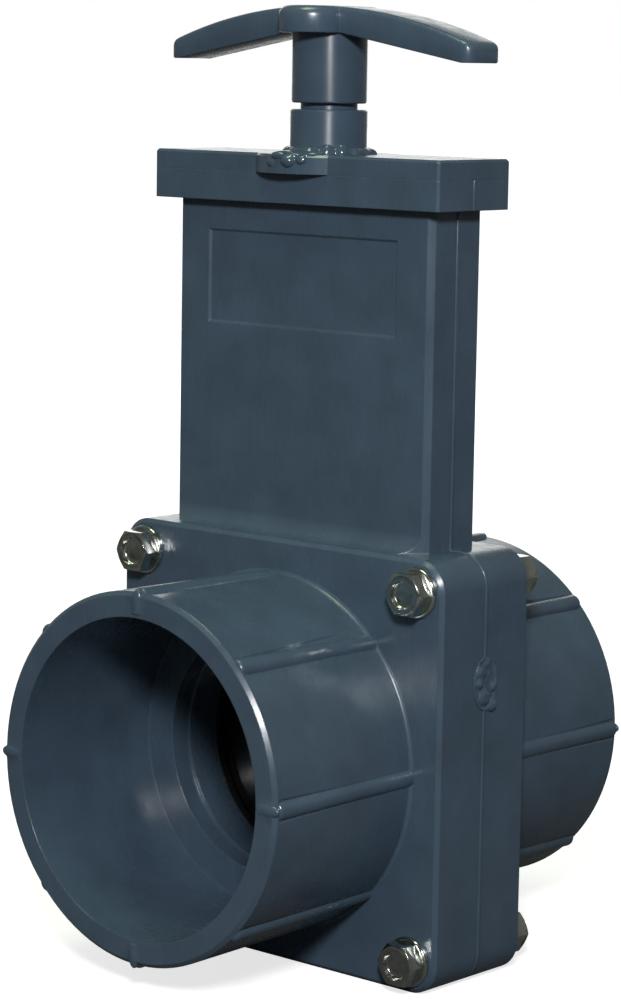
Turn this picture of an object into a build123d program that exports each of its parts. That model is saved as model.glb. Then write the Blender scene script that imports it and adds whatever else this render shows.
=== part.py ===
from build123d import *
import os

# Slide valve for 63 mm solvent-welded pipe. Millimetres, +Z up along the stem, water along Y.
# The origin is the middle of the block's bottom face, and the block's front face looks along -Y.

# Pipe sockets
pipe_diameter = 63.0
socket_clearance = 0.2
socket_wall = 4.4
socket_depth = 36.0
socket_length = 39.7
mouth_chamfer = 0.8
rib_count = 8
rib_width = 2.6
rib_height = 0.7
rib_setback = 4.0
nub_count = 4
nub_width = 2.4
nub_height = 0.3

# Waterway and its seals
port_diameter = 48.4
port_lead_step = 0.6
port_lead_depth = 4.6
seal_width = 4.0
seal_thickness = 1.8
seal_clearance = 0.1

# Square block that the four bolts clamp
block_width = 85.8
block_height = 85.8
block_depth = 27.0
block_corner = 6.4
block_edge = 0.8

# Flat housing above the block, and the rim at its top
housing_width = 67.4
housing_depth = 15.6
housing_edge = 1.2
housing_height = 66.4
foot_fillet = 3.7
rim_width = 75.0
rim_depth = 21.9
rim_thickness = 6.0
rim_edge = 0.5

# Recessed label panel on each face of the housing
label_width = 50.0
label_height = 19.0
label_drop = 6.0
label_depth = 0.5
label_bevel = 0.45

# Gate plate and the slot that it slides in
gate_width = 59.0
gate_thickness = 5.0
gate_shoulder = 36.0
gate_face_clearance = 0.3
gate_side_clearance = 1.0
tongue_width = 14.0
tongue_height = 14.0
tongue_root = 2.0

# Stem with its forked foot, and the cross pin
stem_diameter = 8.0
stem_running_clearance = 0.05
stem_insert = 12.0
fork_width = 15.0
fork_cheek = 2.0
fork_height = 18.0
fork_clearance = 0.05
fork_lift = 1.5
cross_pin_diameter = 3.0
channel_clearance = 0.5

# Lid with the round base of the gland, and the gland bushing
lid_thickness = 3.8
lid_edge = 0.5
gland_base_diameter = 29.0
spigot_height = 2.5
spigot_clearance = 0.1
bushing_diameter = 15.4
bushing_height = 8.7
bushing_chamfer = 0.3
bushing_spigot_diameter = 12.0
stem_seal_section = 1.8

# T-handle: an arched bar with a long boss across its middle, on a round sleeve with a narrower neck
handle_gap = 1.2
handle_rise = 19.1
handle_span = 79.0
arm_thickness = 5.3
arm_depth = 10.0
arm_end_drop = 7.2
arm_end_height = 3.5
arm_foot = 2.4
arm_end_corner = 2.0
arm_edge = 0.8
boss_width = 13.6
boss_length = 24.2
boss_edge = 2.0
sleeve_diameter = 15.0
neck_diameter = 11.4
neck_lift = 0.05

# Bolts, washers and nuts
bolt_diameter = 5.0
bolt_hole_clearance = 0.25
bolt_inset = 6.4
bolt_head_across = 8.0
bolt_head_height = 3.5
washer_diameter = 10.0
washer_thickness = 1.0
nut_height = 4.7
bolt_overrun = 2.0

# Worked out from the sizes above
axis_height = block_height / 2
block_top = block_height
rim_bottom = block_top + housing_height
rim_top = rim_bottom + rim_thickness
lid_top = rim_top + lid_thickness
bushing_top = lid_top + bushing_height
half_block = block_depth / 2
half_housing = housing_depth / 2
socket_radius = (pipe_diameter + socket_clearance) / 2
outer_radius = socket_radius + socket_wall
mouth = half_block + socket_length
stop_face = mouth - socket_depth
port_radius = port_diameter / 2
slot_depth = gate_thickness / 2 + gate_face_clearance
slot_width = gate_width + 2 * gate_side_clearance
fork_depth = gate_thickness + 2 * fork_cheek + 2 * fork_clearance
channel_depth = fork_depth / 2 + channel_clearance
channel_width = fork_width + 2 * channel_clearance
shoulder_top = axis_height + gate_shoulder
fork_bottom = shoulder_top + fork_lift
fork_top = fork_bottom + fork_height
tongue_top = shoulder_top + tongue_height
pin_height = (fork_bottom + tongue_top) / 2
bolt_hole = bolt_diameter / 2 + bolt_hole_clearance
stem_hole = stem_diameter / 2 + stem_running_clearance
seal_inner = port_radius + seal_clearance
seal_outer = seal_inner + seal_width
sleeve_bottom = bushing_top + handle_gap
handle_top = sleeve_bottom + handle_rise
arm_bottom = handle_top - arm_thickness
neck_bottom = bushing_top + neck_lift
stem_top = sleeve_bottom + stem_insert


def upright(shape):
    """A flat shape drawn in X and height, stood up in the valve's middle plane, facing the front."""
    return Plane.XZ * shape


def plate(x_size, z_low, z_high, depth, start=0.0, corner=0.0):
    """A slab drawn on the middle plane that runs forward from start to start + depth."""
    height = z_high - z_low
    outline = RectangleRounded(x_size, height, corner) if corner else Rectangle(x_size, height)
    outline = Pos(0, (z_low + z_high) / 2) * outline
    return extrude(Plane.XZ.offset(start) * outline, depth)


def disc(radius, start, end):
    """A round slab on the pipe's axis, from start to end forward of the middle plane."""
    return extrude(Plane.XZ.offset(start) * Pos(0, axis_height) * Circle(radius), end - start)


def bolt_places():
    """Names and places of the four bolts, as seen from the front."""
    across = block_width / 2 - bolt_inset
    up = block_height / 2 - bolt_inset
    return {
        "upper_left": (-across, axis_height + up),
        "upper_right": (across, axis_height + up),
        "lower_left": (-across, axis_height - up),
        "lower_right": (across, axis_height - up),
    }


def gate_outline(width, shoulder):
    """The gate's outline: square above the pipe's axis and a half circle below it."""
    radius = width / 2
    tall = Pos(0, (axis_height + shoulder) / 2) * Rectangle(width, shoulder - axis_height)
    return tall + Pos(0, axis_height) * Circle(radius)


def ridge_radius(width, height):
    """Radius of a round bar sunk in a face so that it shows this width and height."""
    return (width * width / 4 + height * height) / (2 * height)


def around_axis(piece, count):
    """Copies of a piece turned about the pipe's axis."""
    return [Pos(0, 0, axis_height) * Rot(0, index * 360 / count, 0) * piece for index in range(count)]


def socket_ribs():
    """Rounded ribs along the outside of the socket, each ending short of the mouth."""
    radius = ridge_radius(rib_width, rib_height)
    start = half_block / 2
    end = mouth - rib_setback
    out = outer_radius + rib_height - radius
    bar = Pos(out, -(start + end) / 2, 0) * Rot(90, 0, 0) * Cylinder(radius, end - start)
    return around_axis(bar, rib_count)


def mouth_nubs():
    """Low radial ridges across the face of the socket's mouth."""
    radius = ridge_radius(nub_width, nub_height)
    length = socket_wall - 2 * mouth_chamfer
    place = Pos(outer_radius - socket_wall / 2, radius - mouth - nub_height, 0)
    return around_axis(place * Rot(0, 90, 0) * Cylinder(radius, length), nub_count)


def half_body():
    """The front half of the valve body: block, socket, housing and rim in one moulding."""
    block = plate(block_width, 0, block_top, half_block, corner=block_corner)
    front = block.faces().sort_by(Axis.Y)[0]
    block = chamfer(front.edges(), block_edge)
    housing = plate(housing_width, block_top - block_corner, rim_bottom + rim_thickness / 2, half_housing)
    uprights = housing.edges().filter_by(Axis.Z).group_by(Axis.Y)[0]
    housing = chamfer(uprights, housing_edge)
    rim = plate(rim_width, rim_bottom, rim_top, rim_depth / 2)
    rim_corners = rim.edges().filter_by(Axis.Z).group_by(Axis.Y)[0]
    rim = chamfer(rim_corners, rim_edge)
    body = block + housing

    foot = body.edges().filter_by(Axis.X).filter_by(
        lambda e: abs(e.center().Z - block_top) < 0.01 and abs(e.center().Y + half_housing) < 0.01
    )
    body = fillet(foot, foot_fillet)
    body = body + rim
    barrel = disc(outer_radius, half_block / 2, mouth)
    rim_of_mouth = barrel.faces().sort_by(Axis.Y)[0].edges()
    barrel = chamfer(rim_of_mouth, mouth_chamfer)
    body = body + barrel + socket_ribs() + mouth_nubs()

    body = body - disc(socket_radius, stop_face, mouth + 1)
    lead_radius = port_radius + port_lead_step
    body = body - disc(lead_radius, stop_face - port_lead_depth, stop_face + 1)
    body = body - disc(port_radius, -1, stop_face)
    body = body - disc(seal_outer + seal_clearance, 0, slot_depth + seal_thickness)
    slot = upright(gate_outline(slot_width, rim_top + 1))
    body = body - extrude(slot, slot_depth)
    body = body - plate(channel_width, fork_bottom - channel_clearance, rim_top + 1, channel_depth)

    for x, z in bolt_places().values():
        hole = Plane.XZ.offset(-1) * Pos(x, z) * Circle(bolt_hole)
        body = body - extrude(hole, half_block + 2)

    panel_place = Pos(0, rim_bottom - label_drop - label_height / 2)
    floor_of_panel = Rectangle(label_width - 2 * label_bevel, label_height - 2 * label_bevel)
    floor_of_panel = Plane.XZ.offset(half_housing - label_depth) * panel_place * floor_of_panel
    mouth_of_panel = Plane.XZ.offset(half_housing) * panel_place * Rectangle(label_width, label_height)
    return body - loft([floor_of_panel, mouth_of_panel])


def half_seal():
    """Flat rubber ring around the waterway, seated in the half body behind the gate's face."""
    ring = disc(seal_outer, slot_depth, slot_depth + seal_thickness)
    return ring - disc(seal_inner, 0, slot_depth + seal_thickness + 1)


def gate():
    """Sliding plate with a tongue at its top for the stem's fork."""
    tongue = Rectangle(tongue_width, tongue_height + tongue_root)
    tongue = Pos(0, (shoulder_top + tongue_top - tongue_root) / 2) * tongue
    outline = gate_outline(gate_width, shoulder_top) + tongue
    solid = extrude(upright(outline), gate_thickness / 2, both=True)
    hole = upright(Pos(0, pin_height) * Circle(cross_pin_diameter / 2 + stem_running_clearance))
    return solid - extrude(hole, gate_thickness, both=True)


def stem():
    """Round rod with a fork at its foot."""
    rod = Pos(0, 0, (fork_top + stem_top) / 2) * Cylinder(stem_diameter / 2, stem_top - fork_top)
    fork = plate(fork_width, fork_bottom, fork_top, fork_depth / 2)
    fork = fork + mirror(fork, Plane.XZ)
    throat = plate(fork_width + 2, fork_bottom - 1, tongue_top + fork_clearance, gate_thickness / 2 + fork_clearance)
    fork = fork - throat - mirror(throat, Plane.XZ)
    hole = upright(Pos(0, pin_height) * Circle(cross_pin_diameter / 2 + stem_running_clearance))
    return fork + rod - extrude(hole, fork_depth, both=True)


def cross_pin():
    """Pin that holds the gate's tongue in the fork."""
    return extrude(upright(Pos(0, pin_height) * Circle(cross_pin_diameter / 2)), fork_depth / 2, both=True)


def lid():
    """Flat cover with the round base of the gland, and a spigot that plugs the slot."""
    outline = chamfer(Rectangle(rim_width, rim_depth).vertices(), rim_edge) + Circle(gland_base_diameter / 2)
    solid = extrude(Pos(0, 0, rim_top) * outline, lid_thickness)
    upper = solid.faces().sort_by(Axis.Z)[-1].edges()
    solid = chamfer(upper, lid_edge)
    width = slot_width - 2 * spigot_clearance
    depth = 2 * (slot_depth - spigot_clearance)
    solid = solid + Pos(0, 0, rim_top - spigot_height / 2) * Box(width, depth, spigot_height)
    hole = bushing_spigot_diameter / 2 + spigot_clearance
    solid = solid - Pos(0, 0, lid_top) * Cylinder(hole, 2 * lid_thickness)
    return solid - Pos(0, 0, rim_top) * Cylinder(stem_diameter / 2 + channel_clearance, 4 * spigot_height)


def bushing():
    """Gland that guides the stem, with a groove for its seal."""
    body = Pos(0, 0, (lid_top + bushing_top) / 2) * Cylinder(bushing_diameter / 2, bushing_height)
    body = chamfer(body.edges().group_by(Axis.Z)[-1], bushing_chamfer)
    spigot = Pos(0, 0, lid_top - lid_thickness / 2 + spigot_clearance / 2)
    body = body + spigot * Cylinder(bushing_spigot_diameter / 2, lid_thickness - spigot_clearance)
    body = body - Pos(0, 0, lid_top) * Cylinder(stem_hole, 4 * bushing_height)
    groove = Pos(0, 0, (lid_top + bushing_top) / 2)
    return body - groove * Cylinder(stem_hole + stem_seal_section, stem_seal_section + 2 * seal_clearance)


def stem_seal():
    """Rubber ring in the gland's groove."""
    place = Pos(0, 0, (lid_top + bushing_top) / 2)
    ring = Cylinder(stem_hole + stem_seal_section - seal_clearance, stem_seal_section)
    return place * (ring - Cylinder(stem_hole, 2 * stem_seal_section))


def arch():
    """Side view of the handle's bar: an arc over it, sloping undersides and short flat ends."""
    half = handle_span / 2
    end_top = handle_top - arm_end_drop
    end_bottom = end_top - arm_end_height
    over = ThreePointArc((-half, end_top), (0, handle_top), (half, end_top))
    under = Polyline(
        (half, end_top),
        (half, end_bottom),
        (half - arm_foot, end_bottom),
        (boss_width / 2, arm_bottom),
        (-boss_width / 2, arm_bottom),
        (arm_foot - half, end_bottom),
        (-half, end_bottom),
        (-half, end_top),
    )
    return make_face(Curve() + [over, under])


def handle():
    """T-handle: the arched bar, its long boss and the sleeve and neck that take the stem."""
    bar = extrude(upright(arch()), arm_depth / 2, both=True)
    bar = chamfer(bar.edges().filter_by(Axis.Z), arm_end_corner)
    over = bar.faces().filter_by(GeomType.CYLINDER).sort_by(SortBy.AREA)[-1]
    bar = chamfer(over.edges(), arm_edge)
    outline = extrude(SlotOverall(boss_length, boss_width, rotation=90), handle_top)
    boss = extrude(upright(arch()), boss_length, both=True) & outline
    boss = chamfer(boss.faces().sort_by(Axis.Z)[-1].edges(), boss_edge)
    bottom = (Align.CENTER, Align.CENTER, Align.MIN)
    inside_boss = handle_top - arm_thickness / 2
    sleeve = Pos(0, 0, sleeve_bottom) * Cylinder(sleeve_diameter / 2, inside_boss - sleeve_bottom, align=bottom)
    neck = Pos(0, 0, neck_bottom) * Cylinder(neck_diameter / 2, inside_boss - neck_bottom, align=bottom)
    solid = bar + boss + sleeve + neck
    depth = stem_top + stem_running_clearance - neck_bottom
    return solid - Pos(0, 0, neck_bottom) * Cylinder(stem_hole, depth, align=bottom)


def hexagon(across, start, height, x, z):
    """A hexagonal slab facing forward, with corners to the left and right."""
    place = Plane.XZ.offset(start) * Pos(x, z)
    return extrude(place * RegularPolygon(across / 2, 6, major_radius=False), height)


def bolt(x, z):
    """Hexagon bolt from the front washer to past the rear nut."""
    seat = half_block + washer_thickness
    head = hexagon(bolt_head_across, seat, bolt_head_height, x, z)
    back = half_block + washer_thickness + nut_height + bolt_overrun
    shank = extrude(Plane.XZ.offset(-back) * Pos(x, z) * Circle(bolt_diameter / 2), back + seat)
    return head + shank


def washer(x, z, start):
    """Plain washer lying flat on the block."""
    ring = Circle(washer_diameter / 2) - Circle(bolt_hole)
    return extrude(Plane.XZ.offset(start) * Pos(x, z) * ring, washer_thickness)


def nut(x, z):
    """Hexagon nut on the rear end of the bolt."""
    seat = half_block + washer_thickness
    block = mirror(hexagon(bolt_head_across, seat, nut_height, x, z), Plane.XZ)
    hole = Plane.XZ.offset(-seat - nut_height - 1) * Pos(x, z) * Circle(bolt_diameter / 2 + stem_running_clearance)
    return block - extrude(hole, nut_height + 2)


def all_parts():
    """Every piece by its node name."""
    front = half_body()
    seal = half_seal()
    pieces = {
        "body_front": front,
        "body_rear": mirror(front, Plane.XZ),
        "seal_front": seal,
        "seal_rear": mirror(seal, Plane.XZ),
        "gate_plate": gate(),
        "stem": stem(),
        "stem_cross_pin": cross_pin(),
        "lid": lid(),
        "gland_bushing": bushing(),
        "stem_seal": stem_seal(),
        "handle": handle(),
    }
    for name, (x, z) in bolt_places().items():
        pieces["bolt_" + name] = bolt(x, z)
        pieces["front_washer_" + name] = washer(x, z, half_block)
        pieces["rear_washer_" + name] = washer(x, z, -half_block - washer_thickness)
        pieces["nut_" + name] = nut(x, z)
    return pieces


os.makedirs("parts", exist_ok=True)
for node, piece in all_parts().items():
    export_step(piece, os.path.join("parts", node + ".step"))
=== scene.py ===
import math

import bmesh
import bpy
from mathutils import Matrix, Vector


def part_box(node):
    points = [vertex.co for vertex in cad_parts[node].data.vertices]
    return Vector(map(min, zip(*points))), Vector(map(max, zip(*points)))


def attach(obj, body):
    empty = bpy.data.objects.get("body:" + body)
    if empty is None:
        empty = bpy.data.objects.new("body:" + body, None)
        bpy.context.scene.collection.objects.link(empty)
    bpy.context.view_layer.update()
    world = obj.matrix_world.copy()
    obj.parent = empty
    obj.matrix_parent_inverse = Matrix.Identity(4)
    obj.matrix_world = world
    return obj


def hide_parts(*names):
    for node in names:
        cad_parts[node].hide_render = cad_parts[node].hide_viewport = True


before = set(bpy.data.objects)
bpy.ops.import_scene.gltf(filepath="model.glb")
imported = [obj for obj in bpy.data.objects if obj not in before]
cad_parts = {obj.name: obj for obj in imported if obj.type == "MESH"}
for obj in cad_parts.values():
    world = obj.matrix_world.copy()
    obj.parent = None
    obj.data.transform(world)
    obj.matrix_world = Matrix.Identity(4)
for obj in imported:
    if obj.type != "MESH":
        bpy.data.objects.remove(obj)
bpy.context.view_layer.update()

bl_info = {
    "name": "Slide valve",
    "version": (1, 0, 0),
    "blender": (4, 5, 0),
    "location": "3D View > Sidebar > Slide valve",
    "description": "Dresses a grey PVC slide valve with its fasteners, moulding marks and finishes",
    "category": "Object",
}

MM = 0.001
SAME_POINT = 0.001 * MM
IMAGE_HEIGHT = 1000
SENSOR = 36.0
VALVE_BODY = "valve_body"
SLIDE = "gate_and_handle"
CORNERS = ("upper_left", "upper_right", "lower_left", "lower_right")
CUBE = bpy.ops.mesh.primitive_cube_add
CYLINDER = bpy.ops.mesh.primitive_cylinder_add
PLANE = bpy.ops.mesh.primitive_plane_add
SPHERE = bpy.ops.mesh.primitive_uv_sphere_add
TORUS = bpy.ops.mesh.primitive_torus_add
PVC_IOR = 1.54
RUBBER_IOR = 1.52
LAMP_AIM = Vector((0, 0, 90 * MM))


def middle(node):
    """The middle of a CAD node's box."""
    low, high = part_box(node)
    return (low + high) / 2


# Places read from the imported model, in metres
PIPE_AXIS = middle("seal_front").z
BLOCK_TOP = 2 * PIPE_AXIS
BODY_LOW, BODY_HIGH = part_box("body_front")
BLOCK_SIDE = BODY_HIGH.x
RIM_TOP = BODY_HIGH.z
LID_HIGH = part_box("lid")[1]
BUSHING_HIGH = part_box("gland_bushing")[1]
WASHER_LOW, WASHER_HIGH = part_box("front_washer_upper_left")
BLOCK_FACE = WASHER_HIGH.y
HEAD_SEAT = WASHER_LOW.y
BOLT_LOW, BOLT_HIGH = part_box("bolt_upper_left")
NUT_LOW, NUT_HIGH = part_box("nut_upper_left")
HANDLE_LOW, HANDLE_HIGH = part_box("handle")


def linear(hex_colour):
    """An sRGB hex colour as linear RGBA."""
    channels = [int(hex_colour[i:i + 2], 16) / 255 for i in (1, 3, 5)]
    mixed = [c / 12.92 if c <= 0.04045 else ((c + 0.055) / 1.055) ** 2.4 for c in channels]
    return (*mixed, 1.0)


def feed(tree, node, inputs):
    """Gives each named input of a node a value or a link."""
    for name, value in inputs.items():
        if isinstance(value, bpy.types.NodeSocket):
            tree.links.new(value, node.inputs[name])
        else:
            node.inputs[name].default_value = value


def add_node(tree, kind, settings=None, inputs=None):
    """Adds a node with its settings, and feeds its inputs."""
    made = tree.nodes.new(kind)
    for name, value in (settings or {}).items():
        setattr(made, name, value)
    feed(tree, made, inputs or {})
    return made


def cleared_tree(owner):
    """The node tree of a new material or world, with nothing in it."""
    owner.use_nodes = True
    owner.node_tree.nodes.clear()
    return owner.node_tree


def new_material(name):
    """An empty node material with its shader and output."""
    material = bpy.data.materials.new(name)
    tree = cleared_tree(material)
    shader = add_node(tree, "ShaderNodeBsdfPrincipled")
    add_node(tree, "ShaderNodeOutputMaterial", None, {"Surface": shader.outputs["BSDF"]})
    return material, tree, shader


def noise(tree, size, detail=2.0, roughness=0.5, stretch=(1.0, 1.0, 1.0)):
    """Cloud noise over object coordinates, with features of about this size, drawn out along any axis."""
    place = add_node(tree, "ShaderNodeTexCoord")
    mapped = add_node(tree, "ShaderNodeMapping", None, {
        "Vector": place.outputs["Object"], "Scale": stretch})
    cloud = add_node(tree, "ShaderNodeTexNoise", None, {
        "Vector": mapped.outputs["Vector"], "Scale": 1 / size, "Detail": detail, "Roughness": roughness})
    return cloud.outputs["Fac"]


def spread(tree, value, low, high, start_at=0.3, end_at=0.7, curve="LINEAR"):
    """Maps a value between start_at and end_at onto low to high."""
    made = add_node(tree, "ShaderNodeMapRange", {"interpolation_type": curve}, {
        "Value": value, "From Min": start_at, "From Max": end_at, "To Min": low, "To Max": high})
    return made.outputs["Result"]


def mottle(tree, colour, share):
    """A colour made paler or darker by a share."""
    base = add_node(tree, "ShaderNodeRGB")
    base.outputs[0].default_value = colour
    made = add_node(tree, "ShaderNodeVectorMath", {"operation": "SCALE"}, {
        0: base.outputs[0], "Scale": share})
    return made.outputs["Vector"]


def bumps(tree, height, strength, depth, **normal):
    """The normals of a surface with small bumps."""
    made = add_node(tree, "ShaderNodeBump", None, {
        "Strength": strength, "Distance": depth, "Height": height, **normal})
    return made.outputs["Normal"]


def moulded_pvc(name, colour, low_gloss, high_gloss, edge_radius):
    """Rigid PVC, injection moulded in a polished mould. The eye gets a cold grey with a crisp soft-edged
    gloss, clouds of slightly paler grey where the melt flowed, and corners that catch a thin line of
    light."""
    material, tree, shader = new_material(name)
    cloud = noise(tree, 11 * MM, detail=3.0, roughness=0.55)
    flow = noise(tree, 2.5 * MM, stretch=(1.0, 1.0, 0.15))
    orange_peel = noise(tree, 2.2 * MM)
    rounded = add_node(tree, "ShaderNodeBevel", {"samples": 6}, {"Radius": edge_radius})
    feed(tree, shader, {
        "Base Color": mottle(tree, colour, spread(tree, cloud, 0.88, 1.12)),
        "Roughness": spread(tree, flow, low_gloss, high_gloss),
        "Normal": bumps(tree, orange_peel, 0.35, 0.03 * MM, Normal=rounded.outputs["Normal"]),
        "IOR": PVC_IOR,
    })
    return material


def turned_pvc(name, colour):
    """Rigid PVC with fine rings around the stem's axis, as turning or a turned mould leaves them. The rings
    spread a lamp's mirror image up and down into one bright upright line."""
    material, tree, shader = new_material(name)
    cloud = noise(tree, 6 * MM, detail=3.0)
    rings = noise(tree, 0.5 * MM, stretch=(0.02, 0.02, 1.0))
    around = add_node(tree, "ShaderNodeTangent", {"direction_type": "RADIAL", "axis": "Z"})
    feed(tree, shader, {
        "Base Color": mottle(tree, colour, spread(tree, cloud, 0.92, 1.06)),
        "Roughness": spread(tree, rings, 0.34, 0.42),
        "Tangent": around.outputs["Tangent"],
        "IOR": PVC_IOR,
        "Anisotropic": 0.85,
        "Anisotropic Rotation": 0.25,
    })
    return material


def glossy_gate(name, colour):
    """Black PVC plate, pressed and polished. It is nearly black with sharp reflections, and its fine
    scratches run up and down, the way that it slides. They are drawn wider than real ones, to show."""
    material, tree, shader = new_material(name)
    scratches = noise(tree, 0.6 * MM, detail=3.0, stretch=(1.0, 1.0, 0.04))
    feed(tree, shader, {
        "Base Color": colour,
        "Roughness": spread(tree, scratches, 0.08, 0.2, 0.35, 0.75),
        "Normal": bumps(tree, scratches, 0.15, 0.02 * MM),
        "IOR": PVC_IOR,
    })
    return material


def black_rubber(name, colour):
    """EPDM rubber, moulded. It is black and matt, with a faint fine grain and no mirror image."""
    material, tree, shader = new_material(name)
    grain = noise(tree, 0.5 * MM, detail=3.0)
    feed(tree, shader, {
        "Base Color": colour,
        "Roughness": spread(tree, grain, 0.45, 0.65, 0.0, 1.0),
        "Normal": bumps(tree, grain, 0.4, 0.03 * MM),
        "IOR": RUBBER_IOR,
    })
    return material


def plated_metal(name, colour, low_gloss, high_gloss, blotch_size, stretch=(1.0, 1.0, 1.0)):
    """Steel as drawn or turned and then plated. It mirrors its surroundings, broken up in small blotches
    of brighter and duller metal, so that it shows both near white and near black."""
    material, tree, shader = new_material(name)
    blotch = noise(tree, blotch_size, detail=4.0, stretch=stretch)
    feed(tree, shader, {
        "Base Color": mottle(tree, colour, spread(tree, blotch, 0.8, 1.05)),
        "Roughness": spread(tree, blotch, low_gloss, high_gloss),
        "Normal": bumps(tree, blotch, 0.3, 0.02 * MM),
        "Metallic": 1.0,
    })
    return material


def dress(piece, material):
    """Gives a piece this material alone."""
    piece.data.materials.clear()
    piece.data.materials.append(material)


def named_material(name):
    """A material made earlier by the finishes operator."""
    return bpy.data.materials[name]


def only(piece):
    """Selects one object alone and makes it active."""
    bpy.ops.object.select_all(action="DESELECT")
    piece.hide_set(False)
    piece.select_set(True)
    bpy.context.view_layer.objects.active = piece


def apply_place():
    """Applies the selected piece's place, turn and size to its mesh."""
    bpy.ops.object.transform_apply(location=True, rotation=True, scale=True)


def edit():
    """Goes into edit mode with the active piece."""
    bpy.ops.object.mode_set(mode="EDIT")


def leave_edit():
    """Goes back to object mode."""
    bpy.ops.object.mode_set(mode="OBJECT")


def start(primitive, name, **place):
    """Adds a primitive with nothing else selected, and names it."""
    bpy.ops.object.select_all(action="DESELECT")
    primitive(**place)
    piece = bpy.context.object
    piece.name = name
    piece.data.name = name
    return piece


def pick(piece, kind, test):
    """In edit mode, selects the faces, edges or vertices that pass a test, and nothing else."""
    bpy.ops.mesh.select_mode(type={"faces": "FACE", "edges": "EDGE", "verts": "VERT"}[kind])
    bpy.ops.mesh.select_all(action="DESELECT")
    mesh = bmesh.from_edit_mesh(piece.data)
    for element in getattr(mesh, kind):
        if test(element):
            element.select_set(True)
    mesh.select_flush_mode()
    bmesh.update_edit_mesh(piece.data)


def modify(piece, kind, **settings):
    """Adds one modifier and applies it."""
    only(piece)
    modifier = piece.modifiers.new(kind.title(), kind)
    for name, value in settings.items():
        setattr(modifier, name, value)
    bpy.ops.object.modifier_apply(modifier=modifier.name)


def cut_with(piece, tool, operation="DIFFERENCE"):
    """Cuts a piece with a closed tool, joins it or keeps what they share, and removes the tool."""
    modify(piece, "BOOLEAN", object=tool, operation=operation, solver="EXACT")
    bpy.data.objects.remove(tool, do_unlink=True)


def soften(piece, width, segments=2, angle=30.0):
    """Rounds a piece's sharp edges a little."""
    modify(piece, "BEVEL", width=width, segments=segments, limit_method="ANGLE",
           angle_limit=math.radians(angle), harden_normals=False)


def finish_mesh(piece, angle=30.0):
    """Applies a piece's place, merges its doubles, turns its faces outward and smooths its round parts."""
    only(piece)
    apply_place()
    edit()
    bpy.ops.mesh.select_all(action="SELECT")
    bpy.ops.mesh.remove_doubles(threshold=0.002 * MM)
    bpy.ops.mesh.normals_make_consistent(inside=False)
    leave_edit()
    bpy.ops.object.shade_smooth_by_angle(angle=math.radians(angle))


def join(main, others):
    """Joins other pieces into the main one."""
    only(main)
    for piece in others:
        piece.select_set(True)
    bpy.ops.object.join()


def copy_to(piece, name, offset=(0, 0, 0)):
    """A copy of a finished piece with its own mesh, moved by an offset."""
    only(piece)
    bpy.ops.object.duplicate(linked=False)
    twin = bpy.context.object
    twin.name = name
    twin.data.name = name
    twin.location = offset
    bpy.ops.object.transform_apply(location=True, rotation=False, scale=False)
    return twin


def facing_front(x, y, z):
    """Turns a piece made along +Z so that it looks to the front, and puts it in its place."""
    return Matrix.Translation((x, y, z)) @ Matrix.Rotation(math.radians(90), 4, "X")


def length(name, description, size):
    """A length property with its default in millimetres."""
    return bpy.props.FloatProperty(
        name=name, description=description, default=size * MM, unit="LENGTH", precision=5)


def paint(name, description, hex_colour):
    """A colour property with its default as an sRGB hex value."""
    return bpy.props.FloatVectorProperty(name=name, description=description, subtype="COLOR", size=4,
                                         default=linear(hex_colour), min=0.0, max=1.0)


class ValveFinish(bpy.types.PropertyGroup):
    """Colours of the valve's materials."""
    pvc: paint("PVC", "Grey of the moulded body, lid and handle", "#384755")
    plate: paint("Gate plate", "Black of the sliding plate", "#0b0c0e")
    rubber: paint("Rubber", "Black of the seals", "#141516")
    zinc: paint("Zinc", "Plating of bolts, washers and nuts", "#c9ccc6")
    steel: paint("Stem steel", "Turned stem and its cross pin", "#9a9c9e")


class ValveFasteners(bpy.types.PropertyGroup):
    """Sizes of the bolts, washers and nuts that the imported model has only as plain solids."""
    shank_radius: length("Shank radius", "Radius of the bolts over their threads", 2.5)
    nut_bore: length("Nut bore", "Radius of the hole in each nut", 2.55)
    washer_bore: length("Washer bore", "Radius of the hole in each washer", 2.75)
    thread_pitch: length("Thread pitch", "Distance between two thread crests", 0.8)
    dish_radius: length("Dish radius", "Radius of the recess in each bolt head", 3.0)
    dish_depth: length("Dish depth", "Depth of the recess in each bolt head", 1.1)


class ValveHandle(bpy.types.PropertyGroup):
    """Sizes of the T-handle."""
    arm_thickness: length("Arm thickness", "Height of the bar at its middle", 5.3)
    arm_depth: length("Arm depth", "Depth of the bar from front to back", 10.0)
    end_drop: length("End drop", "How far the bar's ends lie below its middle", 7.2)
    end_height: length("End height", "Height of the bar at its ends", 3.5)
    end_foot: length("End foot", "Length of the flat under each end", 2.4)
    end_corner: length("End corner", "Radius of the bar's corners seen from above", 2.0)
    boss_width: length("Boss width", "Width of the boss across the bar", 13.6)
    sleeve_radius: length("Sleeve radius", "Radius of the sleeve around the stem", 7.5)
    sleeve_gap: length("Sleeve gap", "Height of the neck between sleeve and gland", 1.2)
    neck_radius: length("Neck radius", "Radius of the neck under the sleeve", 5.7)
    bore_radius: length("Bore radius", "Radius of the hole that takes the stem", 4.05)


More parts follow.
